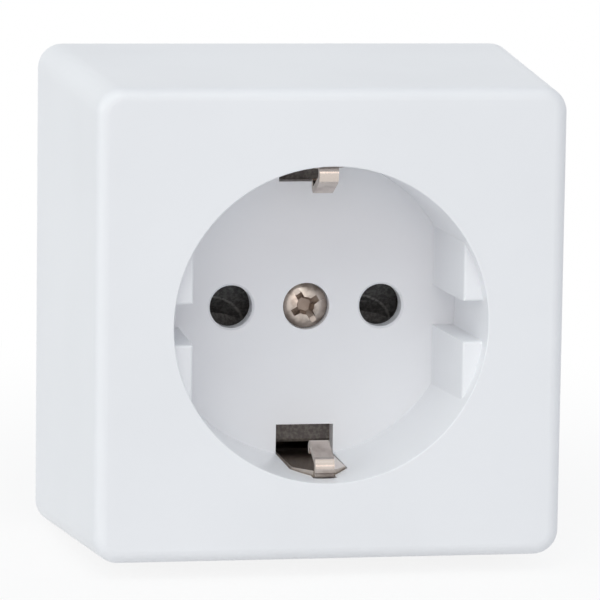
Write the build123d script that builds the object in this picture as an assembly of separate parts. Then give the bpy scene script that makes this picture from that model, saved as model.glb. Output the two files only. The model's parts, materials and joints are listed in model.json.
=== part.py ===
from build123d import *
import math
import os

# Surface mounted wall socket with side earth clips.
# Millimetres. X to the right, Y into the wall, Z up.
# The origin is the middle of the back, on the wall.

# Cover
body_depth = 40.0
back_width = 62.3
front_width = 57.7
corner_radius = 3.1
front_edge_radius = 1.6
side_wall = 2.0
face_wall = 2.2

# Recess for the plug
recess_depth = 17.5
recess_mouth_radius = 19.4
recess_draft = 0.4
recess_edge_radius = 0.15
cup_wall = 1.5
cup_floor = 2.4

# Guide lugs at the two sides of the recess
lug_height_floor = 2.85
lug_height_front = 2.65
lug_setback = 2.3
lug_edge_radius = 0.35
lug_notch = 5.0

# Pins of the plug and their holes
pin_spacing = 19.0
pin_radius = 2.4
pin_room = 0.3
pin_hole_chamfer = 0.25

# Earth strip and the windows it comes through
strip_thickness = 0.85
clip_leg_offset = 18.65
clip_blade_width = 6.7
clip_strip_width = 2.4
clip_shoulder_start = 9.8
clip_shoulder_end = 12.6
clip_bend_height = 14.1
clip_bend_radius = 1.3
clip_ramp_angle = 24.5
clip_nose_offset = 15.35
clip_nose_height = 9.9
clip_nose_radius = 0.95
clip_curl_angle = 130.0
clip_tail = 0.2
window_clearance = 0.3
window_edge_above = 15.7
window_edge_below = 14.95
relief_depth = 0.2

# Middle screw of the cover
cover_screw_head_radius = 2.83
cover_screw_sink = 1.1
cover_screw_rim = 0.5
cover_screw_dome = 0.8
cover_screw_shank_radius = 1.7
cover_screw_length = 13.0
head_clearance = 0.12
recess_cross_width = 0.95
recess_cross_span = 4.3
recess_cross_depth = 1.5
recess_cone_radius = 1.15
recess_cone_foot_radius = 0.75
recess_cross_foot_width = 0.6
recess_cross_foot_span = 1.7
driver_slot_width = 0.7
driver_slot_depth = 0.55
driver_turn = 31.0
screw_head_chamfer = 0.27
screw_slot_depth = 0.9

# Shutter and what carries it
housing_skin = 1.1
housing_half_width = 14.6
housing_half_height = 17.6
housing_corner = 1.5
housing_edge = 0.4
housing_hole_room = 0.2
boss_radius = 3.6
shutter_cavity_depth = 4.4
shutter_play = 0.25
shutter_travel = 5.8
shutter_half_width = 13.0
shutter_plate = 1.3
shutter_pad_half_width = 3.1
shutter_pad_half_height = 3.2
shutter_pad_toe = 1.0
shutter_corner = 0.8
shutter_bridge = 2.5
shutter_lead = 0.4
shutter_dish_radius = 20.7
shutter_dish_x = 2.25
shutter_dish_z = 12.65
shutter_dish_lift = 14.6
pin_way_clearance = 0.25
spring_radius = 1.5
spring_wire_radius = 0.2
spring_wire_sides = 6
spring_turns = 5
spring_space = 8.4

# Contact block
block_half_width = 23.0
block_half_height = 17.9
block_corner = 2.5
block_front_wall = 1.2
block_back_gap = 1.0
contact_bore_radius = 2.45
contact_thickness = 0.7
contact_slit = 1.3
contact_pocket_clearance = 0.35
strap_thickness = 0.8
strap_width = 4.6

# Terminals
terminal_x = 18.4
terminal_z = 9.4
terminal_width = 7.0
terminal_length = 6.0
terminal_depth = 7.6
terminal_wall = 1.0
terminal_corner = 0.6
terminal_screw_radius = 1.7
terminal_head_radius = 2.6
terminal_head_height = 1.9
terminal_lip = 1.4
clamp_plate_thickness = 0.9
wire_space = 2.9
wire_channel_width = 3.8

# Base plate
base_thickness = 2.2
base_clearance = 0.3
base_rim = 1.4
base_rim_height = 3.0
post_radius = 3.2
pad_radius = 2.0
pad_x = 12.0
pad_z = 15.0
wall_slot_edge = 8.65
wall_slot_width = 4.4
wall_slot_length = 7.0
entry_edge = 8.25
entry_length = 15.0
entry_height = 6.6
entry_corner = 2.0
block_screw_edge = 3.8
block_screw_radius = 1.5
block_screw_head_radius = 2.6
block_screw_head_height = 1.7
block_screw_floor = 2.8
block_screw_bite = 2.6
bush_radius = 2.6
bush_length = 7.0
bush_flange_radius = 3.3
bush_flange = 1.0
grommet_lip = 0.8
grommet_membrane = 0.6
knockout_width = 15.0
knockout_height = 9.0
knockout_web = 0.8
membrane_setback = 0.3
post_hole_skin = 0.4
edge_tolerance = 0.01

# Running and sliding clearances
screw_clearance = 0.05
shank_room = 0.25
pocket_clearance = 0.2

# Levels along Y, counted from the wall, and the places that follow from the sizes
pin_hole_radius = pin_radius + pin_room
recess_floor_radius = recess_mouth_radius - recess_draft
lug_flat_floor = recess_floor_radius - lug_height_floor
lug_flat_front = recess_mouth_radius - lug_height_front
wall_slot_place = back_width / 2 - wall_slot_edge
entry_z = back_width / 2 - entry_edge
block_screw_x = block_half_width - block_screw_edge
front_y = -body_depth
floor_y = front_y + recess_depth
floor_back_y = floor_y + cup_floor
housing_front_y = floor_back_y
cavity_front_y = housing_front_y + housing_skin
block_front_y = cavity_front_y + shutter_cavity_depth
pocket_front_y = block_front_y + block_front_wall
base_front_y = -base_thickness
block_back_y = base_front_y - block_back_gap
strap_back_y = block_back_y - strap_thickness
strap_front_y = strap_back_y - strap_thickness
head_seat_y = floor_y + cover_screw_sink + cover_screw_rim
terminal_back_y = strap_back_y + terminal_wall
terminal_front_y = terminal_back_y - terminal_depth
terminal_head_seat_y = terminal_front_y - pocket_clearance - terminal_lip
clamp_plate_back_y = strap_front_y - wire_space
block_screw_seat_y = block_back_y - block_screw_floor
pin_x = pin_spacing / 2
spring_y = (cavity_front_y + block_front_y) / 2
shutter_head_z = boss_radius + shutter_lead + shutter_bridge
shutter_foot_z = -(boss_radius + shutter_lead + shutter_travel + shutter_bridge)
spring_top_z = shutter_head_z + spring_space
housing_hole_radius = pin_hole_radius + housing_hole_room


def plan(y):
    """The plane at depth y seen from the front: x to the right, y up, normal to the viewer."""
    return Plane(origin=(0, y, 0), x_dir=(1, 0, 0), z_dir=(0, -1, 0))


def profile(points):
    """A face in the Y-Z plane at X = 0 from its corners."""
    plane = Plane(origin=(0, 0, 0), x_dir=(0, 1, 0), z_dir=(1, 0, 0))
    return plane * make_face(Polyline(*points, close=True))


def peg(x, z, y_from, y_to, radius):
    """A round rod along Y."""
    return plan(y_to) * Pos(x, z, 0) * extrude(Circle(radius), y_to - y_from)


def taper_peg(x, z, y_from, y_to, radius_from, radius_to):
    """A cone along Y."""
    cone = Cone(radius_to, radius_from, y_to - y_from, align=(Align.CENTER, Align.CENTER, Align.MIN))
    return plan(y_to) * Pos(x, z, 0) * cone


def bar(x, z, y_from, y_to, width, height, radius=0.0):
    """A rectangular bar along Y, with rounded corners where a radius is given."""
    face = RectangleRounded(width, height, radius) if radius > 0 else Rectangle(width, height)
    return plan(y_to) * Pos(x, z, 0) * extrude(face, y_to - y_from)


def span(x_range, y_range, z_range):
    """A block between limits along the three axes."""
    size = [b - a for a, b in (x_range, y_range, z_range)]
    middle = [(a + b) / 2 for a, b in (x_range, y_range, z_range)]
    return Pos(*middle) * Box(*size)


def width_at(y):
    """Outer width of the cover at depth y."""
    return back_width + (front_width - back_width) * (-y / body_depth)


# Cover
def clip_opening(side):
    """Window in the recess floor and flat relief in its wall for one earth clip."""
    half_blade = clip_blade_width / 2 + window_clearance
    half_strip = clip_strip_width / 2 + window_clearance
    inner = window_edge_above if side > 0 else window_edge_below
    outer = clip_leg_offset + strip_thickness + relief_depth
    shoulder_y = floor_y - clip_shoulder_start
    neck_y = floor_y - clip_shoulder_end
    end_y = floor_y - clip_bend_height - window_clearance
    outline = Polyline(
        (-half_blade, floor_back_y),
        (-half_blade, shoulder_y),
        (-half_strip, neck_y),
        (-half_strip, end_y),
        (half_strip, end_y),
        (half_strip, neck_y),
        (half_blade, shoulder_y),
        (half_blade, floor_back_y),
        close=True,
    )
    cutter = extrude(Pos(0, 0, inner) * make_face(outline), outer - inner)
    return cutter if side > 0 else mirror(cutter, Plane.XY)


def guide_lug(side):
    """One guide lug: the part of the recess beyond a flat, with a notch in its middle."""
    lug_front_y = front_y + lug_setback
    reach = recess_mouth_radius + cup_wall / 2
    foot = plan(floor_y) * Pos((lug_flat_floor + reach) / 2, 0, 0) * Rectangle(
        reach - lug_flat_floor, 2 * recess_mouth_radius)
    head = plan(lug_front_y) * Pos((lug_flat_front + reach) / 2, 0, 0) * Rectangle(
        reach - lug_flat_front, 2 * recess_mouth_radius)
    lug = loft([foot, head])
    cup = taper_peg(0, 0, front_y, floor_y, recess_mouth_radius + cup_wall / 2,
                    recess_floor_radius + cup_wall / 2)
    lug = lug & cup
    lug -= span((0, reach), (front_y, floor_y), (-lug_notch / 2, lug_notch / 2))
    edges = lug.edges().filter_by_position(Axis.Y, lug_front_y - edge_tolerance, lug_front_y + edge_tolerance)
    lug = fillet(edges.filter_by(GeomType.LINE), lug_edge_radius)
    return lug if side > 0 else mirror(lug, Plane.YZ)


def drafted_block(inset, y_front, radius):
    """The cover's outside moved in by an inset, from the back to a front level, with rounded corners."""
    squares = []
    for y in (0, y_front):
        width = width_at(y) - 2 * inset
        squares.append(plan(y) * Rectangle(width, width))
    block = loft(squares, ruled=True)
    corners = block.edges().filter_by_position(Axis.Y, y_front + edge_tolerance, -edge_tolerance)
    return fillet(corners, radius)


def knockout():
    """Thin place in the upper wall for a cable, cut from the inside along the draft."""
    points = []
    for y, inset in ((0, knockout_web), (-knockout_height, knockout_web),
                     (-knockout_height, 2 * side_wall), (0, 2 * side_wall)):
        points.append((y, width_at(y) / 2 - inset))
    return extrude(profile(points), knockout_width / 2, both=True)


def make_cover():
    shell = drafted_block(0, front_y, corner_radius)
    shell = fillet(shell.faces().sort_by(Axis.Y)[0].edges(), front_edge_radius)
    shell -= drafted_block(side_wall, front_y + face_wall, corner_radius - side_wall / 2)
    shell += taper_peg(0, 0, front_y + face_wall / 2, floor_back_y,
                       recess_mouth_radius + cup_wall, recess_floor_radius + cup_wall)
    shell -= taper_peg(0, 0, front_y, floor_y, recess_mouth_radius, recess_floor_radius)
    mouth = shell.faces().sort_by(Axis.Y)[0].inner_wires()[0].edges()
    shell = fillet(mouth, recess_edge_radius)
    for side in (-1, 1):
        shell += guide_lug(side)
        shell -= clip_opening(side)
        hole = peg(side * pin_x, 0, floor_y, floor_back_y, pin_hole_radius)
        lead = taper_peg(side * pin_x, 0, floor_y, floor_y + pin_hole_chamfer,
                         pin_hole_radius + pin_hole_chamfer, pin_hole_radius)
        shell -= hole + lead
    shell -= peg(0, 0, floor_y, head_seat_y, cover_screw_head_radius + head_clearance)
    shell -= peg(0, 0, floor_y, floor_back_y, cover_screw_shank_radius + shank_room)
    return shell - knockout() - mirror(knockout(), Plane.XY)


# Earth strip
def strip_along(points, radii, width):
    """A strip of sheet that follows a path in the Y-Z plane, with its width along X."""
    path = FilletPolyline(*[(0, y, z) for y, z in points], radius=radii)
    start = Plane(origin=path @ 0, x_dir=(1, 0, 0), z_dir=path % 0)
    return sweep(start * Rectangle(width, strip_thickness), path=path)


def earth_clip():
    """Leg, shoulders, front bend, ramp and rolled nose of the upper clip."""
    half = strip_thickness / 2
    leg_z = clip_leg_offset + half
    web_y = strap_back_y - half
    bend = clip_bend_radius - half
    nose = clip_nose_radius - half
    shoulder_y = floor_y - clip_shoulder_start
    neck_y = floor_y - clip_shoulder_end
    top_y = floor_y - clip_bend_height + half
    ramp = math.radians(clip_ramp_angle)
    curl = math.radians(clip_curl_angle)
    corner_reach = nose / math.cos((ramp + curl) / 2)
    corner_angle = (curl - ramp - math.pi) / 2
    nose_y = floor_y - clip_nose_height + corner_reach * math.cos(corner_angle)
    nose_z = clip_nose_offset + clip_nose_radius + corner_reach * math.sin(corner_angle)
    ramp_z = nose_z + (nose_y - top_y) * math.tan(ramp)
    tail = nose * math.tan((ramp + curl) / 2) + clip_tail
    tail_end = (nose_y + tail * math.cos(curl), nose_z + tail * math.sin(curl))
    leg = strip_along([(web_y, 0), (web_y, leg_z), (neck_y, leg_z)], [strip_thickness], clip_blade_width)
    half_blade = clip_blade_width / 2
    half_strip = clip_strip_width / 2
    for side in (-1, 1):
        corner = Polyline(
            (side * half_blade, shoulder_y),
            (side * half_strip, neck_y),
            (side * half_blade, neck_y),
            close=True,
        )
        leg -= extrude(Pos(0, 0, clip_nose_offset) * make_face(corner), leg_z)
    route = [(neck_y, leg_z), (top_y, leg_z), (top_y, ramp_z), (nose_y, nose_z), tail_end]
    return leg + strip_along(route, [bend, bend, nose], clip_strip_width)


def make_earth_bracket():
    upper = earth_clip()
    ear = span((0, terminal_x + terminal_length / 2 - terminal_wall), (strap_front_y, strap_back_y),
               (terminal_z - strap_width / 2, terminal_z + strap_width / 2))
    return upper + mirror(upper, Plane.XY) + ear


# Screws and bush
def driver_cross(y):
    """Cross recess: two arms that narrow inwards and a cone in their middle."""
    arms = []
    for angle in (driver_turn, driver_turn + 90):
        mouth = plan(y) * Rot(0, 0, angle) * Rectangle(recess_cross_span, recess_cross_width)
        foot = plan(y + recess_cross_depth) * Rot(0, 0, angle) * Rectangle(
            recess_cross_foot_span, recess_cross_foot_width)
        arms.append(loft([mouth, foot]))
    cone = taper_peg(0, 0, y, y + recess_cross_depth, recess_cone_radius, recess_cone_foot_radius)
    return arms[0] + arms[1] + cone


def slotted_screw(x, z, seat_y, head_radius, head_height, shank_radius, shank_length):
    """Cheese-head screw along Y with a driver slot, its head to the front."""
    screw = peg(x, z, seat_y - head_height, seat_y, head_radius)
    screw = chamfer(screw.edges().sort_by(Axis.Y)[0], screw_head_chamfer)
    screw += peg(x, z, seat_y, seat_y + shank_length, shank_radius)
    top_y = seat_y - head_height
    return screw - bar(x, z, top_y, top_y + screw_slot_depth, 3 * head_radius, driver_slot_width)


def make_cover_screw():
    """Raised head, cross and slot combined, on a plain shank."""
    rim_y = head_seat_y - cover_screw_rim
    top_y = rim_y - cover_screw_dome
    tip_y = head_seat_y + cover_screw_length
    outline = [
        TangentArc((0, top_y), (cover_screw_head_radius, rim_y), tangent=(1, 0)),
        Line((cover_screw_head_radius, rim_y), (cover_screw_head_radius, head_seat_y)),
        Line((cover_screw_head_radius, head_seat_y), (cover_screw_shank_radius, head_seat_y)),
        Line((cover_screw_shank_radius, head_seat_y), (cover_screw_shank_radius, tip_y)),
        Line((cover_screw_shank_radius, tip_y), (0, tip_y)),
        Line((0, tip_y), (0, top_y)),
    ]
    screw = revolve(make_face(outline), Axis.Y)
    screw -= driver_cross(top_y)
    slot = plan(top_y + driver_slot_depth) * Rot(0, 0, driver_turn + 90) * Rectangle(
        3 * cover_screw_head_radius, driver_slot_width)
    return screw - extrude(slot, cover_screw_dome)


def make_cover_bush():
    """Brass bush behind the block's front wall, with its flange to the back."""
    flange_y = block_front_y + bush_length
    bush = peg(0, 0, block_front_y, flange_y, bush_radius)
    bush += peg(0, 0, flange_y - bush_flange, flange_y, bush_flange_radius)
    return bush - peg(0, 0, block_front_y, flange_y, cover_screw_shank_radius + screw_clearance)


# Shutter
def make_shutter_housing():
    """Black carrier with two pin holes and the space that the shutter slides in."""
    housing = bar(0, 0, housing_front_y, block_front_y, 2 * housing_half_width, 2 * housing_half_height,
                  housing_corner)
    housing = chamfer(housing.faces().sort_by(Axis.Y)[0].edges(), housing_edge)
    half_cavity = shutter_half_width + shutter_play
    cavity = span((-half_cavity, half_cavity), (cavity_front_y, block_front_y),
                  (shutter_foot_z - shutter_play, spring_top_z))
    boss = peg(0, 0, cavity_front_y, block_front_y, boss_radius)
    housing = housing - cavity + boss
    housing -= peg(0, 0, housing_front_y, block_front_y, cover_screw_shank_radius + shank_room)
    for side in (-1, 1):
        housing -= peg(side * pin_x, 0, housing_front_y, cavity_front_y, housing_hole_radius)
    seat = extrude(Circle(spring_radius - 2 * spring_wire_radius), shutter_lead)
    return housing + Pos(0, spring_y, spring_top_z - shutter_lead) * seat


def make_shutter():
    """Sliding plate with a ramped pad behind each pin hole and a pin way below it."""
    plate_front_y = block_front_y - shutter_play / 2 - shutter_plate
    plate_back_y = block_front_y - shutter_play / 2
    pad_front_y = cavity_front_y + shutter_play / 2
    shutter = bar(0, (shutter_head_z + shutter_foot_z) / 2, plate_front_y, plate_back_y,
                  2 * shutter_half_width, shutter_head_z - shutter_foot_z, shutter_corner)
    boss_half = boss_radius + shutter_lead
    shutter -= span((-boss_half, boss_half), (plate_front_y, plate_back_y),
                    (-boss_half - shutter_travel, boss_half))
    for side in (-1, 1):
        x = side * pin_x
        way = pin_radius + pin_way_clearance
        shutter -= span((x - way, x + way), (plate_front_y, plate_back_y),
                        (-shutter_travel - way, -shutter_pad_half_height))
        ramp = profile([
            (pad_front_y, shutter_pad_half_height),
            (plate_back_y, shutter_pad_half_height),
            (plate_back_y, -shutter_pad_half_height),
            (plate_back_y - shutter_pad_toe, -shutter_pad_half_height),
        ])
        pad = extrude(ramp, shutter_pad_half_width, both=True)
        dish = Sphere(shutter_dish_radius)
        dish = Pos(-shutter_dish_x, pad_front_y - shutter_dish_lift, -shutter_dish_z) * dish
        shutter += Pos(x, 0, 0) * (pad - dish)
    return shutter


def make_shutter_spring():
    """Closing spring between the shutter's top edge and the housing."""
    low = shutter_head_z + 2 * spring_wire_radius
    rise = spring_top_z - 2 * spring_wire_radius - low
    coil = Helix(pitch=rise / spring_turns, height=rise, radius=spring_radius - spring_wire_radius)
    start = Plane(origin=coil @ 0, z_dir=coil % 0)
    wire = sweep(start * RegularPolygon(spring_wire_radius, spring_wire_sides), path=coil, is_frenet=True)
    return Pos(0, spring_y, low) * wire


# Contacts
def make_contact(side):
    """Rolled sleeve for one pin, and the strap folded off it that ends in the terminal."""
    mouth_y = pocket_front_y + pocket_clearance
    sleeve = peg(pin_x, 0, mouth_y, strap_back_y, contact_bore_radius + contact_thickness)
    strap = span((pin_x - strap_width / 2, pin_x + strap_width / 2), (strap_front_y, strap_back_y),
                 (-terminal_z - strap_width / 2, 0))
    strap += span((pin_x - strap_width / 2, terminal_x + terminal_length / 2 - terminal_wall),
                  (strap_front_y, strap_back_y),
                  (-terminal_z - strap_width / 2, -terminal_z + strap_width / 2))
    contact = sleeve + strap
    contact -= peg(pin_x, 0, mouth_y, strap_back_y, contact_bore_radius)
    contact -= span((pin_x - contact_slit / 2, pin_x + contact_slit / 2), (mouth_y, strap_back_y),
                    (0, contact_bore_radius + 2 * contact_thickness))
    return contact if side > 0 else mirror(contact, Plane.YZ)


# Terminals
def terminal_cage(x, z):
    """Box clamp round the end of a strap, open along X, threaded for its screw."""
    middle_y = (terminal_front_y + terminal_back_y) / 2
    outer = Pos(x, middle_y, z) * Box(terminal_length, terminal_depth, terminal_width)
    outer = fillet(outer.edges().filter_by(Axis.X), terminal_corner)
    inner = Pos(x, middle_y, z) * Box(terminal_length, terminal_depth - 2 * terminal_wall,
                                      terminal_width - 2 * terminal_wall)
    cage = outer - inner
    return cage - peg(x, z, terminal_front_y, middle_y, terminal_screw_radius + screw_clearance)


def terminal_screw(x, z):
    length = clamp_plate_back_y - clamp_plate_thickness - terminal_head_seat_y
    return slotted_screw(x, z, terminal_head_seat_y, terminal_head_radius, terminal_head_height,
                         terminal_screw_radius, length)


def clamp_plate(x, z):
    """Pressure plate under the terminal screw."""
    width = terminal_width - 2 * terminal_wall - 2 * pocket_clearance
    length = terminal_length - 2 * terminal_corner
    front = clamp_plate_back_y - clamp_plate_thickness
    return bar(x, z, front, clamp_plate_back_y, length, width, terminal_corner)


terminal_places = {
    "left": (-terminal_x, -terminal_z),
    "right": (terminal_x, -terminal_z),
    "earth": (terminal_x, terminal_z),
}


# Contact block
def block_pockets():
    """Everything that is cut from the block: pockets, channels, wells and screw holes."""
    tools = []
    pocket_radius = contact_bore_radius + contact_thickness + contact_pocket_clearance
    for side in (-1, 1):
        tools.append(peg(side * pin_x, 0, pocket_front_y, block_back_y, pocket_radius))
        tools.append(peg(side * pin_x, 0, block_front_y, pocket_front_y, housing_hole_radius))
        half = strap_width / 2 + pocket_clearance
        upright = span((pin_x - half, pin_x + half), (strap_front_y - pocket_clearance, block_back_y),
                       (-terminal_z - half, 0))
        tools.append(upright if side > 0 else mirror(upright, Plane.YZ))
    for name, (x, z) in terminal_places.items():
        side = math.copysign(1, x)
        half = strap_width / 2 + pocket_clearance
        start = 0 if name == "earth" else pin_x - half
        run = span((start, terminal_x), (strap_front_y - pocket_clearance, block_back_y),
                   (z - half, z + half))
        tools.append(run if side > 0 else mirror(run, Plane.YZ))
        pocket_y = terminal_front_y - pocket_clearance
        middle_y = (pocket_y + block_back_y) / 2
        pocket = Box(terminal_length + 2 * pocket_clearance, block_back_y - pocket_y,
                     terminal_width + 2 * pocket_clearance)
        tools.append(Pos(x, middle_y, z) * pocket)
        tools.append(peg(x, z, terminal_head_seat_y, pocket_y, terminal_screw_radius + shank_room))
        tools.append(peg(x, z, block_front_y, terminal_head_seat_y, terminal_head_radius + shank_room))
        channel = span((terminal_x, block_half_width), (strap_front_y - wire_channel_width, block_back_y),
                       (z - wire_channel_width / 2, z + wire_channel_width / 2))
        tools.append(channel if side > 0 else mirror(channel, Plane.YZ))
    for side in (-1, 1):
        x = side * block_screw_x
        tools.append(peg(x, 0, block_front_y, block_screw_seat_y, block_screw_head_radius + shank_room))
        tools.append(peg(x, 0, block_screw_seat_y, block_back_y, block_screw_radius + shank_room))
    half = clip_blade_width / 2 + pocket_clearance
    tools.append(span((-half, half), (strap_front_y - pocket_clearance, block_back_y),
                      (-block_half_height, block_half_height)))
    bush_back_y = block_front_y + bush_length
    tools.append(peg(0, 0, block_front_y, bush_back_y, bush_radius + screw_clearance))
    tools.append(peg(0, 0, bush_back_y - bush_flange, block_back_y, bush_flange_radius + screw_clearance))
    return tools


def make_contact_block():
    block = bar(0, 0, block_front_y, block_back_y, 2 * block_half_width, 2 * block_half_height, block_corner)
    for tool in block_pockets():
        block -= tool
    return block


# Base plate
def make_base_plate():
    width = width_at(-base_rim_height) - 2 * side_wall - 2 * base_clearance
    corner = corner_radius - side_wall / 2 - base_clearance / 2
    plate = bar(0, 0, base_front_y, 0, width, width, corner)
    plate += bar(0, 0, -base_rim_height, base_front_y, width, width, corner)
    plate -= bar(0, 0, -base_rim_height, base_front_y, width - 2 * base_rim, width - 2 * base_rim, corner / 2)
    thread_radius = block_screw_radius + screw_clearance
    for side in (-1, 1):
        plate += peg(side * block_screw_x, 0, block_back_y, base_front_y, post_radius)
        plate -= peg(side * block_screw_x, 0, block_back_y, -post_hole_skin, thread_radius)
        for up in (-1, 1):
            plate += peg(side * pad_x, up * pad_z, block_back_y, base_front_y, pad_radius)
            slot = extrude(SlotOverall(wall_slot_length, wall_slot_width), base_thickness)
            plate -= plan(0) * Pos(side * wall_slot_place, up * wall_slot_place, 0) * slot
    plate -= bar(0, entry_z, base_front_y, 0, entry_length, entry_height, entry_corner)
    return plate


def block_screw(side):
    length = block_screw_floor + block_screw_bite
    return slotted_screw(side * block_screw_x, 0, block_screw_seat_y, block_screw_head_radius,
                         block_screw_head_height, block_screw_radius, length)


def make_cable_grommet():
    """Soft frame with a thin skin that the cable is pushed through."""
    top_y = base_front_y - grommet_lip
    skin_y = -membrane_setback - grommet_membrane

    def ring(y_from, y_to, out):
        return bar(0, entry_z, y_from, y_to, entry_length + 2 * out, entry_height + 2 * out,
                   entry_corner + out)

    body = ring(base_front_y, -membrane_setback, -screw_clearance) + ring(top_y, base_front_y, grommet_lip)
    return body - ring(top_y, skin_y, -grommet_lip - screw_clearance)


parts = {
    "cover": make_cover(),
    "cover_screw": make_cover_screw(),
    "cover_bush": make_cover_bush(),
    "earth_bracket": make_earth_bracket(),
    "shutter_housing": make_shutter_housing(),
    "shutter": make_shutter(),
    "shutter_spring": make_shutter_spring(),
    "contact_block": make_contact_block(),
    "contact_left": make_contact(-1),
    "contact_right": make_contact(1),
    "base_plate": make_base_plate(),
    "block_screw_left": block_screw(-1),
    "block_screw_right": block_screw(1),
    "cable_grommet": make_cable_grommet(),
}
for name, (x, z) in terminal_places.items():
    parts["terminal_" + name] = terminal_cage(x, z)
    parts["terminal_screw_" + name] = terminal_screw(x, z)
    parts["clamp_plate_" + name] = clamp_plate(x, z)

os.makedirs("parts", exist_ok=True)
for name, part in parts.items():
    export_step(part, f"parts/{name}.step")
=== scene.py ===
# %% [markdown]
# # A surface mounted wall socket
# This notebook dresses the fixed solid model of a white wall socket: a drafted square
# cover with a round recess for the plug, two pin holes with a black shutter behind them,
# a nickel screw in the middle and two sprung earth clips.
# The solids are loaded first and stay where they are. Everything that follows gives them
# a finish, adds what a solid model leaves out, and sets the light and the camera.

# %% Load the solids
import bpy, json, math
import numpy as np
from mathutils import Matrix, Vector


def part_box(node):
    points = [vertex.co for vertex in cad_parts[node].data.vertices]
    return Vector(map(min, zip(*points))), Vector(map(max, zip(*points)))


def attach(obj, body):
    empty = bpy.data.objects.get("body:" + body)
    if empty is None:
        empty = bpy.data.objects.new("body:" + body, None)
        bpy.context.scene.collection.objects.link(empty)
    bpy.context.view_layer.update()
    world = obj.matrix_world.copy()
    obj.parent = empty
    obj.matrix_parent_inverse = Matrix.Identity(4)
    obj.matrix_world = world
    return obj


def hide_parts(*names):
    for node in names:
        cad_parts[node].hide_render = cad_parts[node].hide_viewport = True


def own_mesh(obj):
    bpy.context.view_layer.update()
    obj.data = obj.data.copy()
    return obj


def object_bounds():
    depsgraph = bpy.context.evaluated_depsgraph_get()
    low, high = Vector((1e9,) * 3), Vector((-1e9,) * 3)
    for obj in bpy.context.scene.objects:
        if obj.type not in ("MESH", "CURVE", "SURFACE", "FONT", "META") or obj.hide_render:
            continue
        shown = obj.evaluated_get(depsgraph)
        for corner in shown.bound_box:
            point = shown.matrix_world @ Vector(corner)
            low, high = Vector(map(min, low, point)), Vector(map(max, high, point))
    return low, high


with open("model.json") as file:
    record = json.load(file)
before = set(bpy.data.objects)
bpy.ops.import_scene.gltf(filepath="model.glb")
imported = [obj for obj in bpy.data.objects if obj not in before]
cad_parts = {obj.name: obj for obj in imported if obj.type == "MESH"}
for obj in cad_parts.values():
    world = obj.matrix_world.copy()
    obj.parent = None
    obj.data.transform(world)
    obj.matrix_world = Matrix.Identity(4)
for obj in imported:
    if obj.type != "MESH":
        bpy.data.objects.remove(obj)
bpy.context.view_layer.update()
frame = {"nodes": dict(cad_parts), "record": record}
nodes = frame["nodes"]
mm = 0.001


# %% [markdown]
# ## Shader maths as plain expressions
# A finish is a small program: how much grain here, how much dirt there. Wiring every
# sum by hand hides the idea, so one class wraps a socket and lets Python's own operators
# add the Math nodes. `1 - mask` works as well as `mask * 0.3`.

# %% A number that lives in a finish
class Amount:
    """One number of a finish. Sums with it become Math nodes."""

    def __init__(self, finish, socket):
        self.finish, self.socket = finish, socket

    def sum(self, operation, *values):
        """Adds one Math node that works on these values."""
        settings = {"operation": operation}
        return self.finish.node("ShaderNodeMath", settings, dict(enumerate(values)), "Value")

    def __add__(self, other):
        return self.sum("ADD", self, other)

    def __sub__(self, other):
        return self.sum("SUBTRACT", self, other)

    def __rsub__(self, other):
        return self.sum("SUBTRACT", other, self)

    def __mul__(self, other):
        return self.sum("MULTIPLY", self, other)

    def __truediv__(self, other):
        return self.sum("DIVIDE", self, other)

    def __pow__(self, other):
        return self.sum("POWER", self, other)

    def __abs__(self):
        return self.sum("ABSOLUTE", self)

    # A sum and a product are the same the other way round.
    __radd__, __rmul__ = __add__, __mul__

    def sign(self):
        """1 right of zero and -1 left of it."""
        return self.sum("SIGN", self)

    def wrapped(self):
        """Its fraction, from 0 to 1, which repeats with every whole number."""
        return self.sum("FRACT", self)

    def ramp(self, low, high):
        """0 below low and 1 above high, with a soft step between them."""
        settings = {"interpolation_type": "SMOOTHSTEP"}
        sockets = {"Value": self, "From Min": low, "From Max": high}
        return self.finish.node("ShaderNodeMapRange", settings, sockets, "Result")


# %% [markdown]
# ## One way to add a node
# A material is a tree of nodes, and the same few nodes come back in every one: position,
# noise, a mix of two colours, relief. They could be added one by one wherever they are
# needed, but then the wiring fills the page. Here one method adds any node, and the short
# ones below it name what that node is for.

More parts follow.
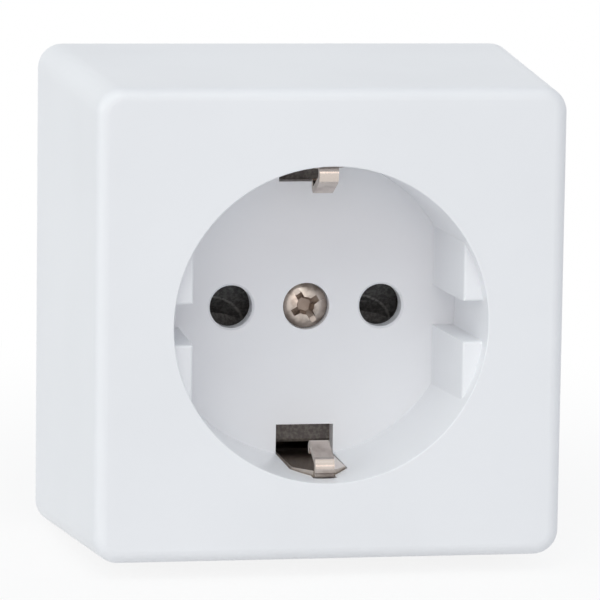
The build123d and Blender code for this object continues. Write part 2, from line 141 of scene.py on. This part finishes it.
# %% A finish and the one way to add a node to it
class Finish:
    """The nodes of one material, or of the surroundings."""

    def __init__(self, owner):
        owner.use_nodes = True
        self.owner, self.tree = owner, owner.node_tree
        self.tree.nodes.clear()

    def node(self, kind, settings, sockets, out):
        """Adds a node, sets it, fills its sockets and gives back its output or outputs."""
        node = self.tree.nodes.new(kind)
        for name, value in settings.items():
            setattr(node, name, value)
        for name, value in sockets.items():
            if isinstance(value, Amount):
                self.tree.links.new(value.socket, node.inputs[name])
            else:
                node.inputs[name].default_value = value
        if isinstance(out, list):
            return [Amount(self, node.outputs[name]) for name in out]
        return Amount(self, node.outputs[out])

    def place(self):
        """Position on the piece, in metres, in the frame of the whole socket."""
        return self.node("ShaderNodeTexCoord", {}, {}, "Object")

    def normal(self):
        """The way the surface faces, as three numbers."""
        return self.split(self.node("ShaderNodeTexCoord", {}, {}, "Normal"))

    def split(self, vector):
        """The three numbers of a vector."""
        return self.node("ShaderNodeSeparateXYZ", {}, {"Vector": vector}, ["X", "Y", "Z"])

    def stretched(self, x, y, z):
        """Position scaled by a different factor along each axis."""
        sockets = {0: self.place(), 1: (x, y, z)}
        return self.node("ShaderNodeVectorMath", {"operation": "MULTIPLY"}, sockets, "Vector")

    def noise(self, scale, detail=2.0, roughness=0.5, place=None):
        """Cloudy pattern from about 0 to 1, with so many blotches to the metre."""
        where = place or self.place()
        sockets = {"Vector": where, "Scale": scale, "Detail": detail, "Roughness": roughness}
        return self.node("ShaderNodeTexNoise", {}, sockets, "Fac")

    def seen(self):
        """1 on a camera ray, straight, mirrored or through glass, and 0 on one that lights."""
        rays = ["Is Camera Ray", "Is Glossy Ray", "Is Transmission Ray"]
        straight, mirrored, through = self.node("ShaderNodeLightPath", {}, {}, rays)
        return straight + mirrored + through

    def mix(self, share, first, second):
        """A colour between two others. The node's sockets for colours go by number."""
        sockets = {0: share, 6: first, 7: second}
        return self.node("ShaderNodeMix", {"data_type": "RGBA"}, sockets, 2)

    def bump(self, height, distance, strength=1.0, under=None):
        """Small relief, with its real height in metres."""
        sockets = {"Height": height, "Distance": distance, "Strength": strength}
        if under is not None:
            sockets["Normal"] = under
        return self.node("ShaderNodeBump", {}, sockets, "Normal")

    def surface(self, **look):
        """Ends the finish with a surface. Names like base_color are the shader's sockets."""
        sockets = {}
        for name, value in look.items():
            sockets[name.replace("_", " ").title().replace("Ior", "IOR")] = value
        return self.end(self.node("ShaderNodeBsdfPrincipled", {}, sockets, "BSDF"))

    def end(self, shader):
        """Links a shader to the material's output and gives back the material."""
        self.node("ShaderNodeOutputMaterial", {}, {"Surface": shader}, [])
        return self.owner


def colour(red, green, blue):
    """A colour as a screen shows it, from 0 to 255, as the light it stands for."""
    linear = [((v / 255 + 0.055) / 1.055) ** 2.4 for v in (red, green, blue)]
    return (*linear, 1.0)


print("a screen's middle grey as light:", round(colour(128, 128, 128)[0], 3))

# %% [markdown]
# ## White moulded plastic
# The cover comes out of a polished steel mould. It has a satin gloss, a faint cold tint,
# and no grain. What the eye does pick up is a long, very shallow waviness from
# shrinking, and a breath of dust and handling that makes the gloss uneven.
# A picture of noise would do, but three layers at their real sizes keep it true from
# close up as well: waves of centimetres, mould polish of tenths of a millimetre, and
# patches of duller gloss.

# %% White plastic
def white_plastic(name, tint, roughness):
    finish = Finish(bpy.data.materials.new(name))
    cloud = finish.noise(38, detail=3.0)
    speck = finish.noise(900)
    dusty = tuple(v * 0.975 for v in tint[:3]) + (1.0,)
    shade = finish.mix(cloud.ramp(0.3, 0.7), tint, dusty)
    waves = finish.bump(finish.noise(55, detail=1.0), 0.04 * mm, strength=0.5)
    polish = finish.bump(finish.noise(2600), 0.004 * mm, strength=0.4, under=waves)
    gloss = roughness + (cloud - 0.5) * 0.08 + (speck - 0.5) * 0.05
    return finish.surface(base_color=shade, roughness=gloss, normal=polish, ior=1.5)


cover_white = white_plastic("cover_white", colour(246, 247, 250), 0.34)
base_white = white_plastic("base_white", colour(222, 223, 226), 0.48)
print("white plastics:", [material.name for material in (cover_white, base_white)])

# %% [markdown]
# ## Black moulded plastic
# The shutter and the insert behind the cover are black. Light only reaches them through
# the pin holes and the two windows, so what shows is the grain of the mould: a rough,
# slightly pitted skin. Each pin slides over the rim of the hollow in the shutter's pad
# and rubs it grey, and the same grey ring is also a painted highlight on the rim's ridge.
# That rim is a circle on a sloping pad, so it looks like an ellipse from
# the front. On the pad that a point belongs to, its distance from the middle of the
# ellipse, measured in the ellipse's own two half widths, says how near the rim it is.

# %% Black plastic
def black_plastic(name, tint, speckled, wear_and_highlight_tone, pits, rubbed_and_lit_rim=None):
    finish = Finish(bpy.data.materials.new(name))
    grain = finish.noise(2300, detail=3.0, roughness=0.6)
    streaks = finish.noise(1, 3.0, 0.6, place=finish.stretched(500, 500, 2200))
    wear_and_rim_highlight = streaks.ramp(0.6, 0.75) * 0.6
    if rubbed_and_lit_rim:
        x, _, z = finish.split(finish.place())
        across = (x - x.sign() * rubbed_and_lit_rim["spacing"] - rubbed_and_lit_rim["x"]) / rubbed_and_lit_rim["across"]
        upward = (z - rubbed_and_lit_rim["z"]) / rubbed_and_lit_rim["up"]
        rim = (across * across + upward * upward) ** 0.5
        # The grey ring on the rim is rub wear and also a painted highlight on the rim's ridge.
        rub_and_highlight_ring = rim.ramp(0.95, 1.0) * (1 - rim.ramp(1.01, 1.06))
        wear_and_rim_highlight = wear_and_rim_highlight + rub_and_highlight_ring * grain.ramp(0.2, 0.6)
    shade = finish.mix(wear_and_rim_highlight, finish.mix(grain.ramp(0.4, 0.62), tint, speckled), wear_and_highlight_tone)
    relief = finish.bump(grain + streaks * 0.5, pits, 0.9)
    return finish.surface(base_color=shade, roughness=0.46 - wear_and_rim_highlight * 0.12, normal=relief)


# The middle of the hollow, from the middle of its pad, and its two half widths.
hollow = {"spacing": 9.5 * mm, "x": -2.25 * mm, "z": -3.8 * mm,
          "across": 4.95 * mm, "up": 4.44 * mm}
shutter_black = black_plastic(
    "shutter_black", tint=colour(71, 71, 71), speckled=colour(101, 101, 100),
    wear_and_highlight_tone=colour(144, 144, 142), pits=0.06 * mm, rubbed_and_lit_rim=hollow)
insert_black = black_plastic(
    "insert_black", tint=colour(88, 84, 81), speckled=colour(114, 109, 105),
    wear_and_highlight_tone=colour(124, 119, 114), pits=0.03 * mm)
print("rim of the hollow, in mm:", [round(2 * hollow[way] / mm, 1) for way in ("across", "up")])

# %% [markdown]
# ## Nickel plated strip
# The earth clips are stamped from rolled sheet and plated. The flat sides are bright and
# carry fine rolling lines, and the sheared edges are rougher and a little greyer. The
# strip has constant thickness, so an edge is simply wherever the surface faces sideways:
# the X part of its direction finds every edge with no mask to paint.

# %% Nickel strip
def nickel_strip(name):
    finish = Finish(bpy.data.materials.new(name))
    sideways = finish.normal()[0]
    sheared = abs(sideways).ramp(0.25, 0.6)
    rolled = finish.noise(1, 2.0, 0.6, place=finish.stretched(5200, 260, 260))
    cloud = finish.noise(420, detail=3.0)
    dull = cloud.ramp(0.45, 0.75)
    shade = finish.mix(dull, colour(210, 199, 191), colour(178, 165, 157))
    shade = finish.mix(sheared * 0.6, shade, colour(208, 198, 188))
    rough = 0.09 + rolled * 0.05 + dull * 0.06 + sheared * 0.26
    relief = finish.bump(rolled + cloud * 0.4, 0.003 * mm, strength=0.6)
    return finish.surface(base_color=shade, metallic=1.0, roughness=rough, normal=relief)


strip_nickel = nickel_strip("strip_nickel")
print("nickel strip:", len(strip_nickel.node_tree.nodes), "nodes")

# %% [markdown]
# ## Nickel plated screws and small metal parts
# A screw head is formed in a die and plated, so it shows faint rings from the tool. The
# recess for the driver turns duller, darker and browner the deeper it goes, and the rim
# carries a painted shade where the head meets the cover. How deep a point lies below the top
# of the dome, and how far it is from the screw's axis, decide these, so neither needs a mask.
# The hidden brass and zinc parts share the recipe with other colours.

# %% Plated and bare metal
def metal(name, bright, dim, rough, head=None):
    finish = Finish(bpy.data.materials.new(name))
    cloud = finish.noise(900, detail=3.0)
    shade = finish.mix(cloud.ramp(0.35, 0.75), bright, dim)
    height = cloud * 0.5 + finish.noise(6000, detail=1.0) * 0.25
    if head:
        x, y, z = finish.split(finish.place())
        from_axis = (x * x + z * z) ** 0.5
        height = height + (from_axis / head["ring_pitch"]).wrapped() * 0.3
        deep = (y + cloud * (0.2 * mm)).ramp(*head["recess"])
        rim = (from_axis + cloud * (0.6 * mm)).ramp(*head["rim"])
        # Painted shade darkens the rim, where the head meets the cover.
        shade = finish.mix(rim * 0.7, shade, head["rim_painted_shade"])
        # The driver recess turns darker and browner with depth.
        shade = finish.mix(deep * 0.85, shade, head["recess_darkening"])
        rough = rough + deep * 0.3 + rim * 0.1
    rough = cloud * 0.14 + rough
    relief = finish.bump(height, 0.01 * mm, strength=0.8)
    return finish.surface(base_color=shade, metallic=1.0, roughness=rough, normal=relief)


dome_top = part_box("cover_screw")[0].y
head_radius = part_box("cover_screw")[1].x
screw_head = {
    "ring_pitch": 0.18 * mm,
    "recess": (dome_top + 0.75 * mm, dome_top + 1.3 * mm),
    # A darker, browner tone deep in the driver recess.
    "recess_darkening": colour(160, 145, 135),
    "rim": (head_radius - 0.35 * mm, head_radius + 0.45 * mm),
    # A painted shade at the rim, where the head meets the cover.
    "rim_painted_shade": colour(122, 112, 105),
}
screw_nickel = metal(
    "screw_nickel", colour(203, 192, 183), colour(158, 146, 137), 0.24, screw_head)
print("screw head:", round(2 * head_radius / mm, 2), "mm across")
bare_brass = metal("bare_brass", colour(214, 184, 118), colour(178, 146, 88), 0.24)
zinc_steel = metal("zinc_steel", colour(196, 198, 202), colour(160, 162, 168), 0.26)

# %% [markdown]
# ## Soft rubber
# The cable grommet in the base is soft, matt and grey. Rubber could be one flat colour,
# but the real one has a dusty bloom, so a coarse noise lightens it in patches and makes
# them duller, and a fine one roughens its skin.

# %% Rubber
def soft_rubber(name):
    finish = Finish(bpy.data.materials.new(name))
    bloom = finish.noise(260, detail=4.0, roughness=0.6)
    shade = finish.mix(bloom.ramp(0.3, 0.8), colour(186, 186, 184), colour(204, 204, 202))
    relief = finish.bump(finish.noise(1900, detail=3.0), 0.02 * mm, strength=0.6)
    return finish.surface(base_color=shade, roughness=0.62 + bloom * 0.2, normal=relief)


grommet_rubber = soft_rubber("grommet_rubber")
print("rubber:", len(grommet_rubber.node_tree.nodes), "nodes")

# %% [markdown]
# ## Which piece gets which finish
# The record names a material slot for every solid. Each piece could be dressed by name,
# but one table from slot to finish dresses them all, so none can be forgotten.

# %% Dress the solids
finish_of_slot = {
    "white_plastic": cover_white,
    "base_plastic": base_white,
    "black_plastic": insert_black,
    "shutter_black": shutter_black,
    "nickel_strip": strip_nickel,
    "nickel_screw": screw_nickel,
    "brass": bare_brass,
    "zinc_steel": zinc_steel,
    "soft_rubber": grommet_rubber,
}
slot_of_node = {part["node"]: part["material_slot"] for part in frame["record"]["subparts"]}
for name, node in nodes.items():
    node.data.materials.clear()
    node.data.materials.append(finish_of_slot[slot_of_node[name]])
print("dressed", len(nodes), "pieces in", len(set(slot_of_node.values())), "finishes")

# %% [markdown]
# ## The closing spring
# The spring that closes the shutter is wound from round wire. In the solid model its
# wire has few sides. A curve with a round bevel could replace it. Here the mesh is wound
# point by point instead, because that gives the dead ends that lie flat with one line of
# sums: the section is round, and the wire rises only between the ends. In the socket the
# spring shortens as the shutter slides up; this mesh is wound once, at one length.

# %% Wind the spring
low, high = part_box("shutter_spring")
wire = 0.2 * mm
radius = (high.x - low.x) / 2 - wire
turns, steps, sides = 6, 48, 10


def spring_height(share):
    """Share of the free height that the wire has climbed: flat at both ends."""
    return np.clip((share * (turns + 1) - 0.5) / turns, 0, 1)


def wind_spring():
    """Sweeps a round section along the wire and closes both ends."""
    share = np.linspace(0, 1, (turns + 1) * steps + 1)
    turn = share * (turns + 1) * 2 * math.pi
    bottom, top = low.z + wire, high.z - wire
    centre = np.stack([
        radius * np.cos(turn), radius * np.sin(turn),
        bottom + (top - bottom) * spring_height(share)], -1)
    centre[:, :2] += ((low.x + high.x) / 2, (low.y + high.y) / 2)
    outwards = np.stack([np.cos(turn), np.sin(turn), np.zeros_like(turn)], -1)
    upwards = np.array([0, 0, 1])
    around = np.linspace(0, 2 * math.pi, sides, endpoint=False)
    rings = [[spot + wire * (math.cos(a) * away + math.sin(a) * upwards) for a in around]
             for spot, away in zip(centre, outwards)]
    points = [tuple(point) for rub_and_highlight_ring in rings for point in rub_and_highlight_ring]
    faces = []
    for rub_and_highlight_ring in range(len(rings) - 1):
        here, there = rub_and_highlight_ring * sides, (rub_and_highlight_ring + 1) * sides
        for side in range(sides):
            after = (side + 1) % sides
            faces.append((here + side, here + after, there + after, there + side))
    faces += [tuple(range(sides))[::-1], tuple(range(len(points) - sides, len(points)))]
    mesh = bpy.data.meshes.new("closing_spring")
    mesh.from_pydata(points, [], faces)
    for face in mesh.polygons:
        face.use_smooth = len(face.vertices) == 4
    mesh.materials.append(zinc_steel)
    spring = bpy.data.objects.new("closing_spring", mesh)
    bpy.context.scene.collection.objects.link(spring)
    return spring


spring = wind_spring()
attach(spring, "socket_body")
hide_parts("shutter_spring")
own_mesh(spring)

# %% [markdown]
# ## The camera
# The socket was photographed from a little to its left and a little above, from about
# half a metre with a long lens, so its sides hardly converge. The camera could be turned
# by three rotations. Two angles and a small roll say it more plainly: how far to the left
# and above it stands, and how far it leans.

# %% Camera
view_left, view_above, roll = math.radians(10.54), math.radians(7.80), math.radians(0.79)
aim = Vector((-0.33, -20.0, 0.44)) * mm
distance = 543.0 * mm
focal_pixels, picture_pixels = 4321, 600
ahead = Vector((
    math.sin(view_left) * math.cos(view_above),
    math.cos(view_left) * math.cos(view_above),
    -math.sin(view_above)))
level = Vector((math.cos(view_left), -math.sin(view_left), 0))
upright = level.cross(ahead)
right = math.cos(roll) * level + math.sin(roll) * upright
up = -math.sin(roll) * level + math.cos(roll) * upright
lens = bpy.data.cameras.new("camera")
lens.sensor_width = 36
lens.lens = focal_pixels * lens.sensor_width / picture_pixels
lens.clip_start, lens.clip_end = 0.05, 50
camera = bpy.data.objects.new("camera", lens)
turned = Matrix((right, up, -ahead)).transposed().to_4x4()
camera.matrix_world = Matrix.Translation(aim - ahead * distance) @ turned
bpy.context.scene.collection.objects.link(camera)
bpy.context.scene.camera = camera
print("lens", round(lens.lens), "mm, from", round(distance / mm), "mm away")

# %% [markdown]
# ## Surroundings
# A product picture is taken in a white room, whose walls fill in the shadows. A bright
# world would do both jobs, but what the camera should see, pure white, is more than what
# should light the socket. So one shader lights it, cool and at less than half strength, and
# another, plain white, is what the camera and shiny metal see.

# %% Surroundings
def surroundings(fill, tint):
    """Lights with a tint and a strength, and looks plain white."""
    world = bpy.data.worlds.new("surroundings")
    sky = Finish(world)
    light, white = [
        sky.node("ShaderNodeBackground", {}, {"Color": tone, "Strength": strength}, "Background")
        for tone, strength in (((*tint, 1), fill), ((1, 1, 1, 1), 1.0))]
    both = sky.node("ShaderNodeMixShader", {}, {0: sky.seen(), 1: light, 2: white}, "Shader")
    sky.node("ShaderNodeOutputWorld", {}, {"Surface": both}, [])
    bpy.context.scene.world = world
    return world


room = surroundings(0.45, (0.95, 1.0, 1.09))
print("surroundings:", len(room.node_tree.nodes), "nodes")

# %% [markdown]
# ## Lamps
# The light is even, with a soft shade under the upper rim of the recess. A single lamp
# leaves either the side or the recess dark, so four large soft ones share the work: one
# high in front, which makes that shade, one far to the left, which lights the left side, a
# weaker one beside the camera, and a weak one overhead, which the bends of the earth clips
# mirror.

# %% Soft lamps
def soft_lamp(name, place, size, power, tint):
    """A round lamp that faces what the camera looks at."""
    lamp = bpy.data.lights.new(name, "AREA")
    lamp.shape, lamp.size, lamp.energy, lamp.color = "DISK", size, power, tint
    thing = bpy.data.objects.new(name, lamp)
    thing.location = place
    thing.rotation_euler = (aim - Vector(place)).to_track_quat("-Z", "Y").to_euler()
    bpy.context.scene.collection.objects.link(thing)
    print(name, power, "W,", size, "m across")


soft_lamp("key_lamp", (-0.25, -1.0, 1.15), 1.0, 4.55, (0.95, 1.03, 1.0))
soft_lamp("top_lamp", (-0.2, -0.65, 1.3), 0.7, 1.5, (1.05, 1.0, 0.9))
soft_lamp("left_lamp", (-1.4, -0.5, 0.25), 1.2, 5.6, (1.0, 1.02, 0.96))
soft_lamp("front_lamp", (-0.2, -1.5, 0.25), 1.0, 2.65, (1.16, 0.99, 0.9))

# %% [markdown]
# ## Floor
# The socket stands on white paper, which takes its shadow. Paper that is lit enough to
# look white would need more light on the socket too. So the paper is pale, and the camera
# sees it mixed with plain white: mostly near the socket, and wholly further away, where
# it meets the surroundings without an edge.

# %% Floor
def paper_floor(glow, near, beyond):
    """Pale paper that turns to plain white between two distances from the socket."""
    finish = Finish(bpy.data.materials.new("paper_floor"))
    fibre = finish.noise(300, detail=3.0)
    shade = finish.mix(fibre, colour(240, 240, 240), colour(246, 246, 246))
    matt = {"Base Color": shade, "Roughness": 1.0, "Specular IOR Level": 0.0}
    paper = finish.node("ShaderNodeBsdfPrincipled", {}, matt, "BSDF")
    lit = {"Color": (1, 1, 1, 1), "Strength": 1.0}
    white = finish.node("ShaderNodeEmission", {}, lit, "Emission")
    x, y, _ = finish.split(finish.place())
    far = ((x * x + y * y) ** 0.5).ramp(near, beyond)
    share = finish.seen() * (glow + far * (1 - glow))
    both = {0: share, 1: paper, 2: white}
    return finish.end(finish.node("ShaderNodeMixShader", {}, both, "Shader"))


reach = 6.0
floor_mesh = bpy.data.meshes.new("floor")
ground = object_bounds()[0].z
corners = [(-reach, -reach, 0), (reach, -reach, 0), (reach, reach, 0), (-reach, reach, 0)]
floor_mesh.from_pydata(corners, [], [(0, 1, 2, 3)])
floor_mesh.materials.append(paper_floor(0.87, 30 * mm, 160 * mm))
floor = bpy.data.objects.new("floor", floor_mesh)
floor.location.z = ground
bpy.context.scene.collection.objects.link(floor)
bpy.context.scene.view_settings.view_transform = "Standard"
print("floor at", round(ground / mm, 2), "mm")
